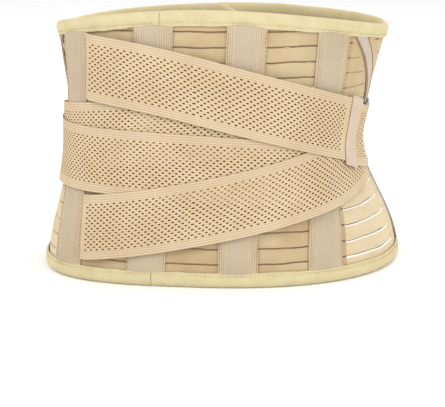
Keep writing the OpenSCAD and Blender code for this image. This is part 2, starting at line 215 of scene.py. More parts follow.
class Nodes:
    """A small helper round one material's node tree."""

    def __init__(self, name):
        self.mat = bpy.data.materials.new(name)
        self.mat.use_nodes = True
        self.tree = self.mat.node_tree
        self.bsdf = self.tree.nodes["Principled BSDF"]

    def add(self, kind, **values):
        n = self.tree.nodes.new(kind)
        for key, v in values.items():
            if hasattr(n, key):
                setattr(n, key, v)
            else:
                n.inputs[key.replace("_", " ")].default_value = v
        return n

    def link(self, a, b):
        self.tree.links.new(a, b)

    def uv(self, scale=(1, 1, 1)):
        """Belt coordinates, in metres."""
        m = self.add("ShaderNodeMapping")
        m.inputs["Scale"].default_value = scale
        self.link(self.add("ShaderNodeUVMap", uv_map="belt").outputs[0], m.inputs[0])
        return m.outputs[0]

    def noise(self, vector, **values):
        n = self.add("ShaderNodeTexNoise", **values)
        self.link(vector, n.inputs["Vector"])
        return n.outputs["Fac"]

    def times(self, socket, amount):
        n = self.add("ShaderNodeMath", operation="MULTIPLY")
        n.inputs[1].default_value = amount
        self.link(socket, n.inputs[0])
        return n.outputs[0]

    def plus(self, a, b):
        """Sum of two heights; a may be missing."""
        if a is None:
            return b
        n = self.add("ShaderNodeMath", operation="ADD")
        self.link(a, n.inputs[0])
        self.link(b, n.inputs[1])
        return n.outputs[0]

    def darken(self, colour, amount, by):
        """Multiply a colour; amount and by are constants or sockets."""
        n = self.add("ShaderNodeMix", data_type="RGBA", blend_type="MULTIPLY")
        self.link(colour, n.inputs[6])
        for value, socket in ((amount, n.inputs[0]), (by, n.inputs[7])):
            if isinstance(value, (float, tuple)):
                socket.default_value = value
            else:
                self.link(value, socket)
        return n.outputs[2]

    def relief(self, height, strength, distance):
        n = self.add("ShaderNodeBump")
        n.inputs["Strength"].default_value = strength
        n.inputs["Distance"].default_value = distance
        self.link(height, n.inputs["Height"])
        self.link(n.outputs[0], self.bsdf.inputs["Normal"])


def fabric(name, light, dark, rough=0.92, ribs=(), noise=(600.0, 0.12), patch=28.0, sheen=0.25, strength=0.5,
           fade=None):
    """ribs: (direction, pitch in mm, depth) of woven lines, along u (the belt) or v (the height), their furrows
    darkened with painted shade; noise: (scale, depth) of the fuzz; patch: scale of the mottling; fade: (from, to,
    tint) up the height, in metres."""
    light, dark = (tuple(c * TONE for c in rgb) for rgb in (light, dark))
    n = Nodes(name)
    b = n.bsdf
    b.inputs["Roughness"].default_value = rough
    b.inputs["Specular IOR Level"].default_value = 0.25
    b.inputs["Sheen Weight"].default_value = sheen
    b.inputs["Sheen Roughness"].default_value = 0.45
    b.inputs["Sheen Tint"].default_value = (*lin(light), 1)
    ramp = n.add("ShaderNodeValToRGB")
    for element, position, colour in zip(ramp.color_ramp.elements, (0.32, 0.62), (dark, light)):
        element.position = position
        element.color = (*lin(colour), 1)
    n.link(n.noise(n.uv(), Scale=patch, Detail=3.0, Roughness=0.6), ramp.inputs[0])
    colour = ramp.outputs[0]
    if fade:
        split = n.add("ShaderNodeSeparateXYZ")
        n.link(n.uv(), split.inputs[0])
        rise = n.add("ShaderNodeMapRange")
        rise.inputs["From Min"].default_value, rise.inputs["From Max"].default_value = fade[:2]
        n.link(split.outputs[1], rise.inputs["Value"])
        colour = n.darken(colour, rise.outputs[0], (*fade[2], 1))
    height = None
    for axis, pitch, depth in ribs:
        wave = n.add("ShaderNodeTexWave", wave_type="BANDS", bands_direction=axis.upper(), wave_profile="SIN")
        wave.inputs["Scale"].default_value = 1000 / pitch * 2 * math.pi / 20    # bands are 20 radians a unit
        wave.inputs["Distortion"].default_value = 0.6
        wave.inputs["Detail"].default_value = 1.0
        n.link(n.uv((1 if axis == "x" else 0.05, 1 if axis == "y" else 0.05, 1)), wave.inputs["Vector"])
        height = n.plus(height, n.times(wave.outputs["Fac"], depth))
        # the furrows between the ribs are darkened in the colour: painted shade
        colour = n.darken(colour, min(MOST_PAINTED_SHADE, depth * RIB_PAINTED_SHADE), wave.outputs["Color"])
    fuzz = n.noise(n.uv(), Scale=noise[0], Detail=4.0, Roughness=0.7)
    n.relief(n.plus(height, n.times(fuzz, noise[1] * 4)), strength, BUMP_H)
    n.link(colour, b.inputs["Base Color"])
    return n.mat


def steel(name):
    """Brushed along its length."""
    n = Nodes(name)
    n.bsdf.inputs["Metallic"].default_value = 1.0
    n.bsdf.inputs["Roughness"].default_value = 0.38
    n.bsdf.inputs["Base Color"].default_value = (*lin((176, 178, 182)), 1)
    squeeze = n.add("ShaderNodeMapping")
    squeeze.inputs["Scale"].default_value = (1, 1, 0.04)
    n.link(n.add("ShaderNodeTexCoord").outputs["Object"], squeeze.inputs[0])
    n.relief(n.noise(squeeze.outputs[0], Scale=900.0, Detail=2.0), 0.15, 0.0001)
    return n.mat


M = {
    "elastic": fabric("elastic_ribbed", (224, 201, 160), (208, 176, 130), ribs=(("y", 1.7, 0.4),), patch=16.0),
    # dark brown for the slits' walls and lips on the back: painted shade in the slits
    "slit_painted_shade": fabric("elastic_slit_painted_shade", (150, 112, 76), (132, 96, 64), patch=40.0),
    "binding": fabric("binding_plush", (238, 224, 178), (230, 213, 164), noise=(900.0, 0.5), sheen=0.6,
                      patch=60.0, strength=0.8),
    "channel": fabric("stay_tape_woven", (216, 197, 170), (206, 186, 159), ribs=(("x", 0.8, 0.35),), patch=24.0),
    "channel_edge": fabric("stay_tape_ribs", (226, 205, 174), (217, 194, 162), ribs=(("x", 2.1, 0.7),),
                           patch=24.0),
    "strap": fabric("strap_mesh", (238, 212, 172), (228, 198, 156), ribs=(("x", 0.9, 0.3),), patch=20.0),
    "strap_edge": fabric("strap_selvedge", (242, 217, 180), (234, 207, 168), ribs=(("y", 2.3, 0.8),),
                         patch=20.0),
    # dark brown for the walls of the strap holes: painted shade in the holes
    "hole_painted_shade": fabric("strap_hole_painted_shade", (168, 132, 92), (150, 116, 80), patch=40.0),
    # a lighter copy of the ribbed elastic for the flaps, painted light; its colour darkens towards the top between
    # 50 and 190 mm up
    "flap_painted_light": fabric("flap_ribbed_painted_light", (246, 226, 190), (236, 212, 172), ribs=(("y", 1.7, 0.35),),
                           patch=16.0, fade=(0.05, 0.19, (0.83, 0.78, 0.70))),
    "joiner": fabric("joiner_tape", (240, 218, 196), (232, 208, 184), ribs=(("y", 2.2, 0.6),), patch=30.0),
    "hook": fabric("hook_tape", (236, 228, 238), (226, 217, 230), ribs=(("x", 1.4, 0.9), ("y", 1.4, 0.9)),
                   rough=0.6, sheen=0.05, strength=0.9),
    "loop": fabric("loop_tape", (240, 237, 238), (230, 226, 230), noise=(1400.0, 0.6), sheen=0.6, strength=0.9),
    "cover": fabric("tab_cover_nylon", (238, 232, 240), (230, 222, 232), noise=(1500.0, 0.35), sheen=0.5),
    "label": fabric("label_satin", (243, 243, 246), (238, 238, 242), rough=0.5, ribs=(("y", 0.5, 0.25),),
                    sheen=0.1),
    "ribbon": fabric("side_ribbon_twill", (224, 208, 188), (214, 198, 180), ribs=(("y", 0.9, 0.4),), patch=30.0),
    # piping along the ribbons' edges; its dark colour is painted shade for the shade lines at the ribbon's borders
    "piping_painted_shade": fabric("ribbon_edge_painted_shade", (186, 156, 122), (170, 140, 108), patch=60.0),
    "backing": fabric("backing_cotton", (232, 217, 188), (224, 208, 178),
                      ribs=(("x", 1.0, 0.4), ("y", 1.0, 0.4))),
    "thread": fabric("thread_cotton", (176, 146, 108), (160, 130, 94), noise=(2000.0, 0.3)),
    # near white lips of the lowest right-flap slits: painted light
    "slit_painted_light": fabric("elastic_slit_painted_light", (272, 264, 250), (264, 254, 238), patch=30.0),
    "thread_binding": fabric("thread_binding", (214, 194, 146), (204, 182, 136), noise=(2000.0, 0.3)),
    "thread_pale": fabric("thread_pale", (228, 208, 164), (216, 194, 150), noise=(2000.0, 0.3)),
    "steel": steel("stay_spring_steel"),
}


# ---------------------------------------------------------------- mesh building in belt coordinates
SHARP = math.radians(50)


class Piece:
    """Closed solids of fabric, gathered in belt coordinates and turned into one mesh."""

    def __init__(self):
        self.p, self.uv, self.faces, self.mats = [], [], [], []
        self.count = 0

    def add_faces(self, s, z, off, u, v, faces, mat):
        self.p.append(np.stack([s, z, off], -1))
        self.uv.append(np.stack([u, v], -1))
        faces = np.asarray(faces) + self.count
        self.faces.append(faces)
        self.mats.append(np.full(len(faces), mat) if np.isscalar(mat) else np.asarray(mat))
        self.count += len(s)

    def sheet(self, s, z, outer, inner, quads, mat, v=None, rim=None):
        """Quads (vertex ids, anticlockwise from outside) given two faces and a wall at every open edge; rim
        says which material the walls have, for each material of a face."""
        s, z = np.asarray(s, float), np.asarray(z, float)
        v = z if v is None else v
        n = len(s)
        a = quads.reshape(-1)
        b = np.roll(quads, -1, axis=1).reshape(-1)
        owner = np.repeat(np.arange(len(quads)), 4)
        forward, backward = a.astype(np.int64) * n + b, b.astype(np.int64) * n + a
        open_edge = ~np.isin(forward, backward)
        a, b, owner = a[open_edge], b[open_edge], owner[open_edge]
        walls = np.stack([b, a, a + n, b + n], 1)
        wall_mat = mat[owner] if rim is None else np.array(rim)[mat[owner]]
        self.add_faces(np.concatenate([s, s]), np.concatenate([z, z]), np.concatenate([outer, inner]),
                       np.concatenate([s, s]), np.concatenate([v, v]),
                       np.concatenate([quads, quads[:, ::-1] + n, walls]), np.concatenate([mat, mat, wall_mat]))

    def grid(self, s, z, outer, inner, keep=None, mat=0, rim=None):
        """s, z, outer and inner on an (n, m) lattice; keep says which cells are cloth."""
        n, m = s.shape
        ids = np.arange(n * m).reshape(n, m)
        quads = np.stack([ids[:-1, :-1], ids[1:, :-1], ids[1:, 1:], ids[:-1, 1:]], -1).reshape(-1, 4)
        mats = np.broadcast_to(mat, (n - 1, m - 1)).reshape(-1)
        if keep is not None:
            quads, mats = quads[keep.reshape(-1)], mats[keep.reshape(-1)]
        used = np.unique(quads)
        index = np.zeros(n * m, int)
        index[used] = np.arange(len(used))
        pick = lambda x: np.broadcast_to(x, s.shape).reshape(-1)[used]
        self.sheet(pick(s), pick(z), pick(outer), pick(inner), index[quads], mats, rim=rim)

    def tube(self, s, z, off, u=None, v=None, mat=0):
        """Rings of a closed section, (rings, points), joined into a tube with flat ends."""
        n, k = s.shape
        ids = np.arange(n * k).reshape(n, k)
        nxt = np.roll(ids, -1, axis=1)
        quads = np.stack([ids[:-1], ids[1:], nxt[1:], nxt[:-1]], -1).reshape(-1, 4)
        u = s if u is None else u
        v = z if v is None else v
        start = self.count
        self.add_faces(*(x.reshape(-1) for x in (s, z, off, u, v)), quads, mat)
        self.faces.append([list(range(start, start + k))[::-1], list(range(start + (n - 1) * k, start + n * k))])
        self.mats.append(np.full(2, mat))

    def build(self, name, materials, smooth=True):
        p = np.concatenate(self.p)
        uv = np.concatenate(self.uv) / 1000
        xyz = wrap(p[:, 0], p[:, 1], p[:, 2])
        mesh = bpy.data.meshes.new(name)
        faces = [list(map(int, f)) for block in self.faces for f in block]
        mesh.from_pydata(xyz.tolist(), [], faces)
        layer = mesh.uv_layers.new(name="belt")
        loops = np.zeros(len(mesh.loops), np.int32)
        mesh.loops.foreach_get("vertex_index", loops)
        layer.data.foreach_set("uv", uv[loops].astype(np.float32).reshape(-1))
        for m in materials:
            mesh.materials.append(M[m])
        mesh.polygons.foreach_set("material_index", np.concatenate(self.mats).astype(np.int32))
        mesh.polygons.foreach_set("use_smooth", np.full(len(faces), smooth))
        mesh.update()
        if smooth:
            mesh.set_sharp_from_angle(angle=SHARP)
        obj = bpy.data.objects.new(name, mesh)
        bpy.context.scene.collection.objects.link(obj)
        return obj


def steps(a, b, size):
    return np.linspace(a, b, max(2, int(round((b - a) / size)) + 1))


def span(p, q):
    return min(p, q), max(p, q)


def wobble(x, seed, lengths, sizes):
    """A smooth, repeatable wander along x."""
    r = np.random.default_rng(seed)
    return sum(k * np.sin(2 * np.pi * x / w + r.uniform(0, 6.28)) for w, k in zip(lengths, sizes))


# ---------------------------------------------------------------- sides, and baking a piece's placement into its mesh
SIDE = {1: "right", -1: "left"}
WING = {1: "right_wing", -1: "left_wing"}


def bend_at_seam(obj):
    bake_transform(obj)


# ---------------------------------------------------------------- stitches
# (place along a stitch, share of its width, share of its height), and how far its foot sinks into the cloth
STITCH_FORM = ((0.0, 0.35, 0.15), (0.2, 0.9, 0.8), (0.5, 1.0, 1.0), (0.8, 0.9, 0.8), (1.0, 0.35, 0.15))
STITCH_FOOT, STITCH_CROWN = 0.25, 0.6


def stitch_row(piece, s, z, off, size=2.4, gap=1.4, width=0.55, height=0.35, mat=0):
    """Raised dashes of thread along a path given as dense points."""
    p = np.column_stack([s, z, np.broadcast_to(off, np.shape(s))]).astype(float)
    run = np.concatenate([[0], np.cumsum(np.hypot(np.diff(p[:, 0]), np.diff(p[:, 1])))])
    at = lambda d: np.array([np.interp(d, run, p[:, k]) for k in range(3)])
    for start in np.arange(gap, run[-1] - size, size + gap):
        a, b = at(start), at(start + size)
        way = (b - a)[:2] / max(1e-6, np.hypot(*(b - a)[:2]))
        side = np.array([-way[1], way[0]]) * width / 2
        rings = []
        for f, w, h in STITCH_FORM:
            m = a + (b - a) * f
            foot, top = m[2] - STITCH_FOOT, m[2] + height * h
            rings.append([(*(m[:2] - side * w), foot), (*(m[:2] - side * w * STITCH_CROWN), top),
                          (*(m[:2] + side * w * STITCH_CROWN), top), (*(m[:2] + side * w), foot)])
        r = np.array(rings)
        piece.tube(r[:, :, 0], r[:, :, 1], r[:, :, 2], mat=mat)


# ---------------------------------------------------------------- slit elastic
ELASTIC_H, ELASTIC_HALF_T = 0.244, 1.1
SLIT_Z0, SLIT_PITCH, SLIT_COUNT = 21.1, 14.05, 16
SLITS = SLIT_Z0 + SLIT_PITCH * np.arange(SLIT_COUNT)
SLIT_HALF, SLIT_CLEAR = 0.42, 0.05
SLIT_END = {1: 438.0, -1: 402.0}
LIT_SLITS, LIT_TO = 5, 236.0          # the lowest slits on the right flap have lips painted pale, painted light for the white seen through them, this far round
CHANNELS = [(i - 1.5) * PITCH for i in range(4)]
CHANNEL_HOLD = CHANNEL_W / 2 - 3      # the elastic is whole this far from a channel's middle
RIBBON_TOP, RIBBON_FOOT, RIBBON_Z, RIBBON_RISE, RIBBON_BEND = 163.0, 268.0, 15.0, 206.0, 1.8
RIBBON_CLEAR, RIBBON_SHIFT = 14.0, 6.0
# (share of a band's height, crown): a band between two slits is thinner at its edges
BAND_FORM = ((0, -0.42), (0.07, -0.06), (0.5, 0.06), (0.93, -0.06), (1, -0.42))
BAND_ROWS = len(BAND_FORM)


def ribbon_course(z):
    """Middle of the slanting ribbon at a height, and how much wider it is measured level."""
    q = np.clip((z - RIBBON_Z) / RIBBON_RISE, 0, 1.04)
    run = RIBBON_TOP - RIBBON_FOOT
    slope = run * RIBBON_BEND * q ** (RIBBON_BEND - 1) / RIBBON_RISE
    return RIBBON_FOOT + run * q ** RIBBON_BEND, np.sqrt(1 + slope ** 2)


def in_bay(s, z):
    """0 under a stay channel, under the ribbon and on the plain ends, rising to 1 in a bay between them."""
    s = np.asarray(s, float)
    clear = np.min([np.abs(s - c) - CHANNEL_HOLD for c in CHANNELS], axis=0)
    end = np.where(s > 0, SLIT_END[1], SLIT_END[-1]) - np.abs(s)
    course, widen = ribbon_course(z)
    plain = np.abs(np.abs(s) - course - RIBBON_SHIFT) - RIBBON_CLEAR * widen
    return np.clip(np.min([clear, end, plain], axis=0) / 7.0, 0, 1) ** 0.7


def elastic(name, a, b, side):
    """Bands of elastic between the slits; every slit ends in a channel, at the ribbon or on a plain end."""
    holds = [c + way * CHANNEL_HOLD for c in CHANNELS for way in (-1, 1)]
    grid_s = np.unique(np.concatenate([steps(a, b, 4.0), holds]))
    grid_s = grid_s[(grid_s >= a) & (grid_s <= b)]
    grid_s = grid_s[np.concatenate([[True], np.diff(grid_s) > 0.7])]
    middle_s = (grid_s[:-1] + grid_s[1:]) / 2
    low, high = low_edge(grid_s) + 2.0, top_edge(grid_s) - 2.0
    spread = np.interp(np.abs(grid_s), (SEAM, SEAM + 8, 205, 225, 270), (0.62, 1.2, 1.2, 0.6, 0.45))
    rows, outer, inner = [], [], []
    edges = [None] + list(SLITS) + [None]
    for k in range(len(edges) - 1):
        below, above = (in_bay(grid_s, 0.0 if e is None else e) for e in (edges[k], edges[k + 1]))
        bay = np.minimum(below, above)
        gap = (SLIT_HALF + 0.12 * wobble(grid_s, 40 + k, (90.0, 37.0), (0.6, 0.4))) * spread
        wave_low, wave_high = (0.3 * wobble(grid_s, k + n, (61.0, 29.0, 13.0), (1.0, 0.5, 0.25)) * share
                               for n, share in ((0, below), (1, above)))
        z0 = low if edges[k] is None else edges[k] + wave_low + gap * below + SLIT_CLEAR
        z1 = high if edges[k + 1] is None else edges[k + 1] + wave_high - gap * above - SLIT_CLEAR
        # past the outline's edge the rows pile up a hair apart, so no face is folded over
        z0 = np.clip(z0, low + 0.02 * k, high - 0.5 + 0.02 * k)
        z1 = np.clip(z1, low + 0.02 * k + 0.01, high - 0.49 + 0.02 * k)
        swell = 0.16 * wobble(grid_s, 70 + k, (70.0, 31.0), (0.8, 0.4)) * bay
        shape = 0.25 + 0.75 * bay
        for f, crown_off in BAND_FORM:
            rows.append(z0 + (z1 - z0) * f)
            outer.append(ELASTIC_HALF_T + (crown_off + swell) * shape)
            inner.append(-ELASTIC_HALF_T + (-crown_off * 0.6 + swell) * shape)
    z, outer, inner = (np.stack(x, 1) for x in (rows, outer, inner))
    s = np.repeat(grid_s[:, None], z.shape[1], 1)
    keep = np.ones((len(grid_s) - 1, z.shape[1] - 1), bool)
    mats = np.zeros(keep.shape, int)
    on_flap = np.abs(middle_s) > SEAM
    # the flaps take the lighter, painted-light copy of the elastic
    mats[on_flap] = 2
    for k in range(1, len(edges) - 1):
        between = BAND_ROWS * k - 1
        near = (z[:-1, between] > low[:-1] + 10) & (z[:-1, between] < high[:-1] - 10)
        bay = in_bay(middle_s, edges[k])
        keep[:, between] = ~((bay > 0.02) & near)
        # in the bays the lip just above each slit is painted dark brown: painted shade
        mats[~on_flap & (bay > 0.5), between + 1] = 1
        # the lips just below these slits get the pale painted light
        if side > 0 and k <= LIT_SLITS:
            mats[on_flap & (middle_s < LIT_TO), between - 1] = 3
    piece = Piece()
    # the walls along the slits and edges of the back elastic are dark brown painted shade; on the flaps they take
    # the flap elastic or the pale painted light
    piece.grid(s, z, outer, inner, keep, mats, rim=(1, 1, 2, 3))
    obj = piece.build(name, ["elastic", "slit_painted_shade", "flap_painted_light", "slit_painted_light"])
    bend_at_seam(obj)
    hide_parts("back_elastic", SIDE[side] + "_elastic")


elastic("elastic_right", -42.0, RIGHT_L - 2, 1)
elastic("elastic_left", -LEFT_L + 2, -42.2, -1)


# ---------------------------------------------------------------- plush edge binding
# (depth from the fold, distance outward) round the section, from the outer lip over the fold to the inner lip
SECTION = np.array([(12.9, 1.9), (13.6, 2.5), (13.5, 3.3), (12.6, 3.7), (11.5, 3.15), (10.3, 3.75), (8.0, 4.15),
                    (5.2, 4.1), (2.8, 3.5), (1.1, 2.3), (0.1, 0.8), (0.1, -0.8), (1.1, -2.0), (2.8, -3.0),
                    (5.2, -3.5), (8.0, -3.5), (10.3, -3.2), (11.5, -2.7), (12.6, -3.1), (13.5, -2.8),
                    (13.6, -2.1), (12.9, -1.6), (11.0, -1.4), (2.1, -1.4), (1.7, -0.7), (1.7, 0.7), (2.1, 1.4),
                    (11.0, 1.4)])
BINDING_DEPTH, BINDING_CLOTH = 13.6, 0.034
BINDING_STITCH_Z, BINDING_STITCH_OFF = 10.6, 3.75
JOIN, JOIN_GAP = -36.0, 0.6           # where the right and left bindings meet, on the back


def with_run(rows):
    """rows of (s, z of the fold, inward s, inward z), with the distance along the path added."""
    p = np.array(rows, float)
    run = np.concatenate([[0], np.cumsum(np.hypot(np.diff(p[:, 0]), np.diff(p[:, 1])))])
    return np.column_stack([p, run])


def bind(name, materials, piece, path, seed, lip_change, flip, nodes):
    """Binding along a path from with_run; lip_change moves its lip away from the fold."""
    s0, z0, ds, dz, run = (path[:, [i]] for i in range(5))
    depth, off = SECTION[:, 0][None, :], SECTION[:, 1][None, :]
    lip = depth / BINDING_DEPTH
    plump = 0.16 * wobble(run, seed, (23.0, 9.0, 5.0), (0.8, 0.8, 0.5)) * np.sin(np.pi * np.clip(lip, 0, 1))
    d = depth + lip_change * lip ** 3
    s, z = s0 + ds * d, z0 + dz * d
    o = np.broadcast_to(off + np.sign(off) * plump, s.shape)
    around = np.cumsum(np.concatenate([[0], np.hypot(*np.diff(SECTION, axis=0).T)]))[None, :]
    u, v = np.broadcast_to(run, s.shape), np.broadcast_to(around, s.shape)
    if flip:
        s, z, o, u, v = (x[:, ::-1] for x in (s, z, o, u, v))
    piece.tube(s, z, o, u=u, v=v)
    obj = piece.build(name, materials)
    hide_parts(*nodes)
    return obj


def channel_scallop(s):
    """The lip dips where a stay channel pushes it out."""
    return 0.9 - sum(2.3 * np.exp(-((s - c + 3) / 15.0) ** 2) for c in CHANNELS)


def edge_binding(side, edge, a, b, seed):
    """Binding along the top or bottom edge, from a to b, to where the flap's corner starts."""
    top = edge == "top"
    s = steps(a, b, 3.0)
    z = top_plain(s) if top else np.zeros(len(s))
    path = with_run(np.column_stack([s, z, np.zeros(len(s)), np.full(len(s), -1.0 if top else 1.0)]))
    on_back = np.clip((SEAM + 6 - np.abs(s)) / 10, 0, 1)
    change = 0.35 * wobble(path[:, [4]], seed, (47.0, 17.0, 7.0), (0.6, 0.5, 0.5))
    change = change + (channel_scallop(s) * on_back * (1 if top else 0.6))[:, None]
    piece = Piece()
    sewn = s[(s > a + 4) & (s < b - 4)]
    sewn_z = top_plain(sewn) - BINDING_STITCH_Z if top else np.full(len(sewn), BINDING_STITCH_Z)
    stitch_row(piece, sewn, sewn_z, BINDING_STITCH_OFF, size=1.6, gap=2.4, width=0.7, height=0.3, mat=1)
    obj = bind(f"{edge}_binding_{SIDE[side]}", ["binding", "thread_binding"], piece, path, seed + 1, change,
               not top, [f"back_{edge}_binding", f"{SIDE[side]}_{edge}_binding"])
    bend_at_seam(obj)


def end_binding(side, tip):
    """Binding down a flap's end, round both its corners."""
    s_in = tip - side * CORNER_R
    high = float(top_plain(s_in))
    rows = []
    for z, turn in ((high - CORNER_R, (90, 0)), (CORNER_R, (0, -90))):
        for a in np.radians(np.linspace(*turn, 13)):
            rows.append((s_in + side * CORNER_R * np.cos(a), z + CORNER_R * np.sin(a), -side * np.cos(a),
                         -np.sin(a)))
    straight = [(tip, z, -side, 0.0) for z in np.linspace(high - CORNER_R, CORNER_R, 40)[1:-1]]
    path = with_run(rows[:13] + straight + rows[13:])
    obj = bind(SIDE[side] + "_flap_end_binding", ["binding"], Piece(), path, 21 + side, 0.0, side > 0,
               [SIDE[side] + "_end_binding"])
    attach(obj, WING[side])


edge_binding(1, "top", JOIN, RIGHT_L - CORNER_R, 11)
edge_binding(-1, "top", -LEFT_L + CORNER_R, JOIN - JOIN_GAP, 12)
edge_binding(1, "bottom", JOIN, RIGHT_L - CORNER_R, 13)
edge_binding(-1, "bottom", -LEFT_L + CORNER_R, JOIN - JOIN_GAP, 14)
end_binding(1, RIGHT_L)
end_binding(-1, -LEFT_L)


# ---------------------------------------------------------------- stay channels
CHANNEL_HALF, CHANNEL_END = CHANNEL_W / 2, 11.0
RIBS_LEFT_TO, RIBS_RIGHT_FROM = -11.4, 4.4    # the corded sides of the tape, measured from its middle
RIB_H, LEFT_RIB, RIGHT_RIB = 0.34, 1.65, 1.7
STAY_X, STAY_SPREAD, STAY_BULGE = -3.4, 9.0, 0.65
TUCK = 6.0
CHANNEL_STITCH_X, CHANNEL_STITCH_OFF = 16.6, 3.25


def rib(x, pitch):
    return RIB_H * np.abs(np.sin(np.pi * x / pitch))


def stay_channel(i):
    c = CHANNELS[i]
    x = np.unique(np.concatenate([np.linspace(-CHANNEL_HALF, RIBS_LEFT_TO, 25), np.linspace(-11, 4, 16),
                                  np.linspace(RIBS_RIGHT_FROM, CHANNEL_HALF, 52)]))
    right_ribs = np.where(x > RIBS_RIGHT_FROM, rib(x - RIBS_RIGHT_FROM, RIGHT_RIB), 0.0)
    ribs = np.where(x < RIBS_LEFT_TO, rib(x + CHANNEL_HALF, LEFT_RIB), right_ribs)
    bulge = STAY_BULGE * np.clip(1 - (np.abs(x - STAY_X) / STAY_SPREAD) ** 4, 0, 1)
    high = float(top_edge(c)) - CHANNEL_END
    z = CHANNEL_END + (high - CHANNEL_END) * np.linspace(0, 1, 61)
    across = x[:, None]
    sway = 0.18 * wobble(z[None, :], 30 + i, (80.0, 33.0), (1.0, 0.5))
    s = c + across + sway * (np.abs(across) / CHANNEL_HALF)
    zz = np.broadcast_to(z[None, :], s.shape)
    tuck = np.minimum(np.clip((z - CHANNEL_END) / TUCK, 0, 1), np.clip((high - z) / TUCK, 0, 1))[None, :]
    ripple = 0.12 * wobble(zz, 50 + i, (37.0, 17.0), (0.8, 0.5))
    edge = np.clip(CHANNEL_HALF - np.abs(across), 0, 1)
    outer = 2.3 + (0.35 + 0.5 * tuck) * (0.4 + 0.6 * edge)
    outer = outer + (ribs + bulge)[:, None] * tuck + ripple * tuck * edge
    plain = (x[:-1] > RIBS_LEFT_TO) & (x[1:] <= RIBS_RIGHT_FROM)
    piece = Piece()
    piece.grid(s, zz, outer, 1.75, mat=np.where(plain, 0, 1)[:, None])
    obj = piece.build("stay_channel_%d_tape" % (i + 1), ["channel", "channel_edge"])
    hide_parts("stay_channel_%d" % (i + 1))
    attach(obj, "back")


for i in range(len(CHANNELS)):
    stay_channel(i)

channel_seams = Piece()
for c in CHANNELS:
    z = np.arange(15.0, float(top_edge(c)) - 15.0, 2.0)
    for x in (-CHANNEL_STITCH_X, CHANNEL_STITCH_X):
        stitch_row(channel_seams, np.full(len(z), c + x), z, CHANNEL_STITCH_OFF)
obj = channel_seams.build("channel_stitches", ["thread"])
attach(obj, "back")


# ---------------------------------------------------------------- perforated straps
STRAP_HALF, STRAP_T = 30.0, 0.8
HOLE_PITCH, HOLE_ROW = 6.0, 2.5               # about how far apart the holes are, along and across
HOLE_HALF_L, HOLE_SHARE = 1.35, 0.31          # half a hole's length, and its half height as a share of a row
HOLE_POINTS = [math.radians(t) for t in (225, 270, 315, 0, 45, 90, 135, 180)]
BAND_W, BAND_LINES, BAND_RIB, BAND_RELIEF = 8.0, 12, 2.0, 0.2
MESH_RELIEF = 0.10
CHANNEL_TOP = 3.3                             # the channel tape's outer face, where a strap is sewn on


def strap_cells(length):
    """Quads of a strap with a staggered grid of holes and a solid band along each edge, as (corners, band?)."""
    cols = int(round(length / HOLE_PITCH))
    pitch = length / cols
    middle = 2 * STRAP_HALF - 2 * BAND_W
    rows = int(round(middle / HOLE_ROW))
    h = middle / rows
    for r in range(rows):
        y0 = -STRAP_HALF + BAND_W + r * h
        y1, ym = y0 + h, y0 + h / 2
        odd = r % 2
        for k in range(-odd, cols):
            x0 = k * pitch + odd * pitch / 2
            xm, x1 = x0 + pitch / 2, x0 + pitch
            if x0 < -1e-6 or x1 > length + 1e-6:
                xa, xb = max(0.0, x0), min(length, x1)
                yield [(xa, y0), (xb, y0), (xb, ym), (xa, ym)], 0
                yield [(xa, ym), (xb, ym), (xb, y1), (xa, y1)], 0
                continue
            ring = [(x0, y0), (xm, y0), (x1, y0), (x1, ym), (x1, y1), (xm, y1), (x0, y1), (x0, ym)]
            if min(x0, length - x1) < pitch * 0.8:
                for j in (0, 2, 4, 6):
                    yield [ring[j - 1], ring[j], ring[j + 1], (xm, ym)], 0
                continue
            hole = [(xm + HOLE_HALF_L * math.cos(t), ym + h * HOLE_SHARE * math.sin(t)) for t in HOLE_POINTS]
            for j in range(8):
                n = (j + 1) % 8
                yield [ring[j], ring[n], hole[n], hole[j]], 0
    xs = [k * pitch / 2 for k in range(2 * cols + 1)]
    for way in (-1, 1):
        for r in range(BAND_LINES):
            ya, yb = span(*(way * (STRAP_HALF - BAND_W * q / BAND_LINES) for q in (r, r + 1)))
            for xa, xb in zip(xs[:-1], xs[1:]):
                yield [(xa, ya), (xb, ya), (xb, yb), (xa, yb)], 1


def strap_sheet(piece, line, a, b, off, thick=STRAP_T):
    corners, mats = zip(*strap_cells(b - a))
    points = np.round(np.array(corners).reshape(-1, 2), 4)
    unique, index = np.unique(points, axis=0, return_inverse=True)
    x, y = unique[:, 0], unique[:, 1]
    s = a + x
    depth = STRAP_HALF - np.abs(y)
    band = BAND_RELIEF * np.abs(np.sin(np.pi * (depth + 0.2) / BAND_RIB))
    sag = 0.22 * wobble(s, 500 + int(a), (83.0, 41.0), (0.8, 0.5)) * np.cos(np.pi * y / (2 * STRAP_HALF))
    inner = off(s) + sag
    outer = inner + thick + np.where(depth < BAND_W, band, MESH_RELIEF)
    # the walls round the holes take the dark painted shade; the edge bands' walls keep the selvedge colour
    piece.sheet(s, line(s) + y, outer, inner, index.reshape(-1, 4), np.array(mats), v=y, rim=(2, 1))


def strap(name, line, a, b, off, nodes):
    piece = Piece()
    strap_sheet(piece, line, a, b, off)
    obj = piece.build(name, ["strap", "strap_edge", "hole_painted_shade"])
    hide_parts(*nodes)
    bend_at_seam(obj)


def sewn_down(off, at, to=CHANNEL_TOP, length=9.0):
    """The strap's offset, coming down to the channel tape at its sewn end."""
    return lambda s: to + (off - to) * ease(np.clip(np.abs(s - at) / length, 0, 1))


def lower_off(s):
    """The lower strap passes under the upper one and the joiner, then lies against the flap under the tab."""
    return sewn_down(6.3, -ANCHOR)(s) - 1.4 * ease((s - 140) / 10) - 1.3 * ease((s - 160) / 16)


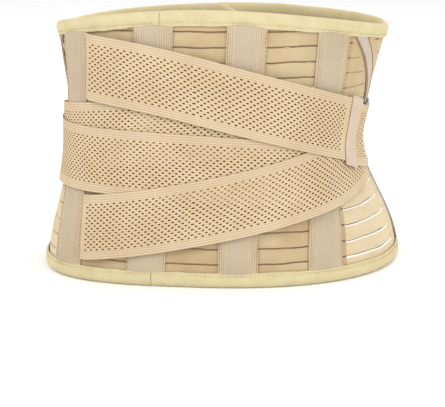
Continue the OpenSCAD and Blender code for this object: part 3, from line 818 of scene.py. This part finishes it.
strap("strap_inner", inner_line, -252.0, ANCHOR, sewn_down(3.75, ANCHOR, 3.35),
      ["inner_strap", "inner_strap_end"])
strap("strap_middle", middle_line, -252.0, ANCHOR, sewn_down(5.1, ANCHOR),
      ["middle_strap", "middle_strap_end"])
strap("strap_lower", lower_line, -ANCHOR, 211.0, lower_off, ["lower_strap", "right_strap_end"])
strap("strap_upper", upper_line, -ANCHOR, 153.0, sewn_down(7.8, -ANCHOR), ["upper_strap"])


# ---------------------------------------------------------------- side ribbons with their narrow stays
RIBBON_HALF, PIPING_X, PIPING_OFF, PIPING_R = 6.5, 6.1, 2.9, 0.55
SIDE_STAY_HALF = 2.5
RIBBON_LOW, RIBBON_HIGH = 11.5, 226.5
SIDE_STAY_LOW, SIDE_STAY_HIGH = 23.0, 213.0


def slanting(side, x, low, high):
    """Belt coordinates of a strip that follows the ribbon, x across it."""
    zc = low + (high - low) * np.linspace(0, 1, 41)[None, :]
    sc, widen = ribbon_course(zc)
    s, z = side * (sc + x[:, None] * widen), zc + 0 * x[:, None]
    return (s, z) if side > 0 else (s[::-1], z[::-1])


def side_ribbon(side):
    x = np.linspace(-RIBBON_HALF, RIBBON_HALF, 17)
    s, z = slanting(side, x, RIBBON_LOW, RIBBON_HIGH)
    swell = 0.5 * np.clip(1 - (np.abs(x[:, None]) / 4.2) ** 2, 0, 1)
    piece = Piece()
    piece.grid(s, z, 2.75 + swell + 0.06 * wobble(z, 61, (31.0, 13.0), (1.0, 0.5)), 1.95)
    around = np.linspace(0, 2 * np.pi, 7)[:-1][None, ::-side]
    for x in (-PIPING_X, PIPING_X):
        es, ez = slanting(side, np.array([x]), RIBBON_LOW, RIBBON_HIGH)
        s = es[0][:, None] + side * PIPING_R * np.cos(around)
        z = np.broadcast_to(ez[0][:, None], s.shape)
        # the piping tubes take the dark painted shade
        piece.tube(s, z, PIPING_OFF + PIPING_R * np.sin(around) + 0 * s, mat=1)
    obj = piece.build(SIDE[side] + "_slanting_ribbon", ["ribbon", "piping_painted_shade"])
    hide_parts(SIDE[side] + "_side_ribbon")
    bend_at_seam(obj)


def side_stay(side):
    s, z = slanting(side, np.array([-SIDE_STAY_HALF, SIDE_STAY_HALF]), SIDE_STAY_LOW, SIDE_STAY_HIGH)
    piece = Piece()
    piece.grid(s, z, 2.0, 1.55)
    obj = piece.build(SIDE[side] + "_slanting_stay", ["steel"], smooth=False)
    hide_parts(SIDE[side] + "_side_stay")
    bend_at_seam(obj)


for side in (1, -1):
    side_ribbon(side)
    side_stay(side)


# ---------------------------------------------------------------- joiners and pull tabs
def tape(name, mat, slot, node, a, b, line, half, outer, inner, radii=(0.0, 0.0), relief=None, held="stretched",
         rests=()):
    """A tape from s=a to b round its middle line, with corners rounded to radii at a and at b."""
    s1 = np.linspace(a, b, 41)
    cut = np.zeros(len(s1))
    for d, r in zip((s1 - a, b - s1), radii):
        x = np.clip(r - d, 0, r)
        cut = np.maximum(cut, r - np.sqrt(np.maximum(r * r - x * x, 0)))
    y = np.linspace(-1, 1, 25)[None, :] * (half - cut)[:, None]
    s = np.broadcast_to(s1[:, None], y.shape)
    edge = np.minimum((half - cut)[:, None] - np.abs(y), np.minimum(s - a, b - s))
    out = outer - 0.35 * np.clip(1 - edge / 1.2, 0, 1)
    if relief is not None:
        out = out + relief(s, y, edge)
    piece = Piece()
    piece.grid(s, line(s) + y, out, inner)
    obj = piece.build(name, [mat])
    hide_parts(node)
    return obj


def soft_edge(s, y, edge):
    return 0.22 * ease(edge / 3.5) + 0.05 * wobble(s + y, 77, (19.0, 8.0), (1.0, 0.6))


def cross_ribs(s, y, edge):
    return 0.12 * np.abs(np.sin(np.pi * y / 1.5)) + 0.1 * wobble(s * 3 + y, 78, (23.0, 9.0), (1.0, 0.6))


joiner = tape("right_joiner_tape", "joiner", "joiner_tape", "right_joiner", 155.0, 178.0, right_tab_line, 33.0,
              8.9, 7.75, relief=cross_ribs, rests=["strap_upper"])
bend_at_seam(joiner)
joiner = tape("left_joiner_tape", "joiner", "joiner_tape", "left_joiner", -260.0, -241.0, left_tab_line, 33.0,
              7.3, 6.25, relief=cross_ribs, rests=["strap_middle"])
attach(joiner, "left_wing")

# (where its mesh starts, where its smooth patch starts, its end, its middle line)
TAB = {1: (176.5, 213.0, 314.0, right_tab_line), -1: (-258.5, -282.0, -381.0, left_tab_line)}
TAB_BEND = {1: (178.0, 196.0), -1: (-259.0, -273.0)}
LAP = 8.0                                     # the mesh is sewn this far over the smooth patch
TAB_OFF, TAB_RISE, LAP_RISE = 5.1, {1: 1.6, -1: 0.96}, 1.6
COVER_STITCH_OFF, LAP_STITCH_OFF, STITCH_SPREAD = 6.75, 7.75, 27.0
FREE_R, SEWN_R = 14.0, 3.0


def pull_tab(side):
    start, patch, end, line = TAB[side]
    body, name = SIDE[side] + "_tab", SIDE[side] + "_pull_tab"
    lap = patch + side * LAP

    def mesh_off(s):
        """High on the joiner, low over the flap, and up again over the smooth patch."""
        on_joiner = 1 - ease(np.abs(s - start) / 14.0)
        return TAB_OFF + TAB_RISE[side] * on_joiner + LAP_RISE * ease((np.abs(s) - abs(patch) + 5) / 4.0)

    piece = Piece()
    strap_sheet(piece, line, *span(start, lap), mesh_off, 0.9)
    mesh = piece.build(name + "_mesh", ["strap", "strap_edge", "hole_painted_shade"])
    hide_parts(SIDE[side] + "_tab_mesh")
    [Vector(wrap(s, TAB_Z[-1], 5.6)) for s in TAB_BEND[side]]
    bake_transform(mesh)
    radii = (SEWN_R, FREE_R) if side > 0 else (FREE_R, SEWN_R)
    cover = tape(name + "_cover", "cover", "tab_cover", SIDE[side] + "_tab_cover", *span(patch - side, end), line,
                 30.5, 6.5, 5.05, radii, relief=soft_edge, held="laid", rests=["elastic_" + SIDE[side]])
    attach(cover, body)
    hook = tape(name + "_hook_patch", "hook", "hook_tape", SIDE[side] + "_tab_hook",
                *span(patch + side * 2, end - side * 1.5), line, 29.0, 5.0, 3.9, radii, held="laid",
                rests=[name + "_cover"])
    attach(hook, body)
    piece = Piece()
    last = end - side * 3.0
    y = np.linspace(-STITCH_SPREAD, STITCH_SPREAD, 40)
    for s, spread, off in ((lap - side * 2.0, 1.0, LAP_STITCH_OFF), (last, 0.6, COVER_STITCH_OFF)):
        stitch_row(piece, np.full(40, s), line(np.full(40, s)) + y * spread, off)
    xs = np.linspace(lap + side, last - side * 11, 60)
    for top in (-STITCH_SPREAD - 0.3, STITCH_SPREAD + 0.3):
        stitch_row(piece, xs, line(xs) + top, COVER_STITCH_OFF)
    obj = piece.build(name + "_stitches", ["thread_pale"])
    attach(obj, body)


for side in (1, -1):
    pull_tab(side)


# ---------------------------------------------------------------- hook and loop fields, and the label
MARGIN = 14.0
FIELD_BACK = 1.35     # how far a sewn face lies from the middle of the elastic


def panel(name, mat, node, side, a, b, low, high, face):
    """A flat field on the outer face of a flap, or on its inner face where face is negative."""
    s1 = steps(a, b, 3.0)
    lo, hi = low(s1)[:, None], high(s1)[:, None]
    z = lo + (hi - lo) * np.linspace(0, 1, 61)[None, :]
    s = np.broadcast_to(s1[:, None], z.shape)
    edge = np.minimum(np.minimum(z - lo, hi - z), np.minimum(s - a, b - s))
    puff = 0.2 * ease(edge / 3)
    piece = Piece()
    if face > 0:
        piece.grid(s, z, face + puff - 0.1, FIELD_BACK)
    else:
        piece.grid(s, z, -FIELD_BACK, face - puff)
    obj = piece.build(name, [mat])
    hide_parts(node)
    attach(obj, WING[side])


def field_low(s):
    return low_edge(s) + MARGIN


def field_high(s):
    return top_edge(s) - MARGIN


panel("left_hook_field", "hook", "left_hook_panel", -1, -LEFT_L + MARGIN + 1, -LEFT_L + 104.0,
      field_low, field_high, 2.3)
panel("right_loop_field", "loop", "right_loop_panel", 1, RIGHT_L - 96.0, RIGHT_L - MARGIN - 1,
      field_low, field_high, -2.4)
panel("blank_care_label", "label", "care_label", -1, -LEFT_L + 105.0, -LEFT_L + 123.0,
      lambda s: 105.0 + 0 * s, lambda s: 141.0 + 0 * s, 1.8)

# ---------------------------------------------------------------- CAD nodes that stay, with their materials
for i in range(1, len(CHANNELS) + 1):
    for node, mat in (("stay_backing_%d" % i, "backing"), ("steel_stay_%d" % i, "steel")):
        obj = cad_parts[node]
        obj.data.materials.clear()
        obj.data.materials.append(M[mat])

# ---------------------------------------------------------------- floor, light and camera
FLOOR_SIZE, FLOOR_Z = 30.0, -0.0005
bpy.ops.mesh.primitive_plane_add(size=FLOOR_SIZE, location=(0, 0, FLOOR_Z))
floor = bpy.context.object
floor.name = "floor"
paper = Nodes("floor")
paper.bsdf.inputs["Base Color"].default_value = (0.93, 0.93, 0.93, 1)
paper.bsdf.inputs["Roughness"].default_value = 0.9
paper.bsdf.inputs["Specular IOR Level"].default_value = 0.1
floor.data.materials.append(paper.mat)

world = bpy.data.worlds.new("studio")
bpy.context.scene.world = world
world.use_nodes = True
world.node_tree.nodes["Background"].inputs[0].default_value = (1, 1, 1, 1)
world.node_tree.nodes["Background"].inputs[1].default_value = 1.0


def area_light(name, where, target, size, power):
    data = bpy.data.lights.new(name, "AREA")
    data.shape = "DISK"
    data.size, data.energy = size, power
    obj = bpy.data.objects.new(name, data)
    bpy.context.scene.collection.objects.link(obj)
    obj.location = where
    obj.rotation_euler = (Vector(target) - Vector(where)).to_track_quat("-Z", "Y").to_euler()


area_light("key", (-1.2, -1.6, 1.5), (0, -0.05, 0.12), 0.9, 17.0)
area_light("fill", (1.6, -1.3, 0.9), (0, 0, 0.12), 1.2, 13.0)
area_light("rim", (0.5, 1.8, 1.6), (0, 0, 0.15), 1.0, 12.0)

AZ, EL, ROLL = (math.radians(a) for a in (8.0, 12.2, -0.27))
DIST, FOCAL_PX, FRAME_PX, SENSOR = 1.5485, 1511.1, 445, 36.0
AIM_BEHIND, AIM_Z, AIM_RIGHT = 0.015, 0.04183, 0.00181
back = Vector((math.sin(AZ) * math.cos(EL), -math.cos(AZ) * math.cos(EL), math.sin(EL)))
right = Vector((math.cos(AZ), math.sin(AZ), 0))
up = back.cross(right)
target = Vector((CENTRE[0] / 1000, CENTRE[1] / 1000 + AIM_BEHIND, AIM_Z)) + right * AIM_RIGHT
rolled_right = right * math.cos(ROLL) + up * math.sin(ROLL)
rolled_up = up * math.cos(ROLL) - right * math.sin(ROLL)
cam = bpy.data.cameras.new("camera")
cam.sensor_fit = "HORIZONTAL"
cam.sensor_width = SENSOR
cam.lens = FOCAL_PX / FRAME_PX * SENSOR
cam.clip_start, cam.clip_end = 0.05, 50
cam_obj = bpy.data.objects.new("camera", cam)
bpy.context.scene.collection.objects.link(cam_obj)
turn = Matrix((rolled_right, rolled_up, back)).transposed().to_4x4()
cam_obj.matrix_world = Matrix.Translation(target + back * DIST) @ turn
bpy.context.scene.camera = cam_obj
bpy.context.scene.view_settings.view_transform = "Standard"
